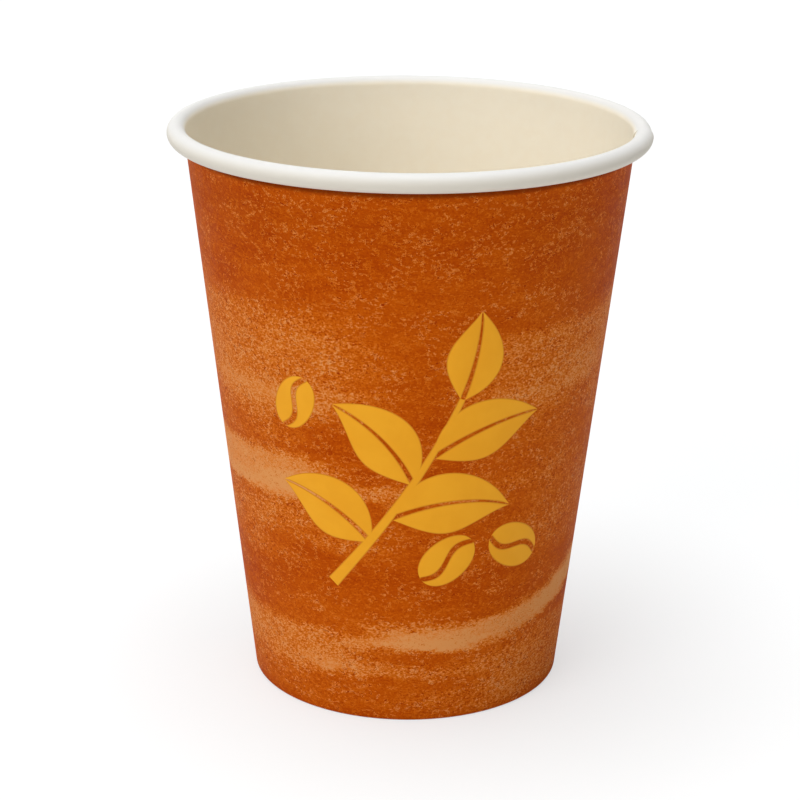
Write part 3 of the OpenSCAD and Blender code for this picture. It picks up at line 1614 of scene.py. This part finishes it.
@dataclass
class Studio:
    """Pale floor, soft light and the camera."""

    camera_at: tuple[float, float, float] = (0.0, -432.83, 199.80)
    pitch: float = 18.658
    yaw: float = -0.186
    roll: float = 0.469
    lens: float = 106.58
    sensor: float = 36.0
    clip: Point = (0.01, 50.0)
    floor_r: float = 6000.0
    floor_sides: int = 96
    opening_r: float = 28.0
    sky_light: float = 0.1
    lamps: tuple[Lamp, ...] = (
        Lamp("overhead", 180, 84, 0.95, 50),
        Lamp("front_left", 232, 25, 0.34, 40),
        Lamp("front_right", 312, 14, 0.07, 40),
        Lamp("below", 250, -70, 0.55, 60),
    )
    floor_seen: tuple[float, ...] = srgb(243, 246, 247)
    floor_bounce: tuple[float, ...] = srgb(210, 210, 210)
    floor_lift: float = 0.58

    def camera(self) -> None:
        """Sets the camera to the viewing angle, a little above the rim."""
        pitch, yaw, roll = (math.radians(v) for v in (self.pitch, self.yaw, self.roll))
        ahead = Vector((math.sin(yaw) * math.cos(pitch), math.cos(yaw) * math.cos(pitch), -math.sin(pitch)))
        right = ahead.cross(Vector((0, 0, 1))).normalized()
        up = right.cross(ahead)
        across = math.cos(roll) * right + math.sin(roll) * up
        upward = -math.sin(roll) * right + math.cos(roll) * up
        data = bpy.data.cameras.new("camera")
        data.lens, data.sensor_width = self.lens, self.sensor
        data.clip_start, data.clip_end = self.clip
        made = bpy.data.objects.new("camera", data)
        made.matrix_world = Matrix((across, upward, -ahead)).transposed().to_4x4()
        made.location = Vector(self.camera_at) * MM
        bpy.context.scene.collection.objects.link(made)
        bpy.context.scene.camera = made

    def floor(self) -> None:
        """Lays a pale round floor that shows the cup's shadow, and that can be looked through from below.

        It is open inside the foot, where the lamp below lights the recess.
        """
        count = self.floor_sides
        angles = np.linspace(0, 2 * math.pi, count, False)
        circle = np.stack([np.cos(angles), np.sin(angles), np.zeros(count)], axis=1)
        points = np.concatenate([circle * self.floor_r, circle * self.opening_r]) * MM
        mesh = bpy.data.meshes.new("floor")
        quads = [(i, (i + 1) % count, (i + 1) % count + count, i + count) for i in range(count)]
        mesh.from_pydata(points.tolist(), [], quads)
        material, g = new_material("Pale floor")
        lit = g.node("Emission", {"Color": (1, 1, 1, 1), "Strength": 1.0})
        seen = g.node("LightPath").outputs["Is Camera Ray"]
        paper = g.node("BsdfDiffuse", {"Color": g.blend(seen, self.floor_bounce, self.floor_seen)})
        share = g.math("MULTIPLY", seen, self.floor_lift)
        top = g.node("MixShader", {0: share, 1: paper.outputs[0], 2: lit.outputs[0]})
        below, clear = g.node("NewGeometry").outputs["Backfacing"], g.node("BsdfTransparent")
        finish_shader(g, g.node("MixShader", {0: below, 1: top.outputs[0], 2: clear.outputs[0]}))
        mesh.materials.append(material)
        made = bpy.data.objects.new("floor", mesh)
        bpy.context.scene.collection.objects.link(made)

    def light(self) -> None:
        """Sets an even sky, white where it is seen or mirrored, and the broad lamps."""
        world = bpy.data.worlds.new("studio")
        world.use_nodes = True
        bpy.context.scene.world = world
        g = Graph(world.node_tree)
        rays = g.node("LightPath").outputs
        seen = g.math("MAXIMUM", rays["Is Camera Ray"], rays["Is Glossy Ray"])
        seen = g.math("MAXIMUM", seen, rays["Is Transmission Ray"])
        dim = g.node("Background", {"Color": (1, 1, 1, 1), "Strength": self.sky_light})
        white = g.node("Background", {"Color": (1, 1, 1, 1), "Strength": 1.0})
        both = g.node("MixShader", {0: seen, 1: dim.outputs[0], 2: white.outputs[0]})
        g.node("OutputWorld", {"Surface": both.outputs[0]})
        for lamp in self.lamps:
            lamp.build()

    def build(self) -> None:
        """Sets up the whole studio."""
        scene = bpy.context.scene
        scene.view_settings.view_transform = "Standard"
        self.camera()
        self.floor()
        self.light()


def main() -> None:
    """Builds the cup and its studio."""
    logging.basicConfig(level=logging.INFO, format="%(name)s: %(message)s")
    effects = Effects()
    printed, coated = PrintedFinish().build(effects), CoatedFinish().build(effects)
    cut = CutFinish().build(effects)
    wall = Sidewall().build([printed, coated, cut])
    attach(wall, BODY)
    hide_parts("sidewall")
    LOG.info("%s: %d polygons", wall.name, len(wall.data.polygons))
    for piece in Motif().build(InkFinish().build(effects)):
        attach(piece, BODY)
        LOG.info("%s: %d polygons", piece.name, len(piece.data.polygons))
    disc = BottomDisc().dress(PlainFinish().build(effects))
    LOG.info("%s: %d polygons", disc.name, len(disc.data.polygons))
    Studio().build()


if __name__ == "__main__":
    main()
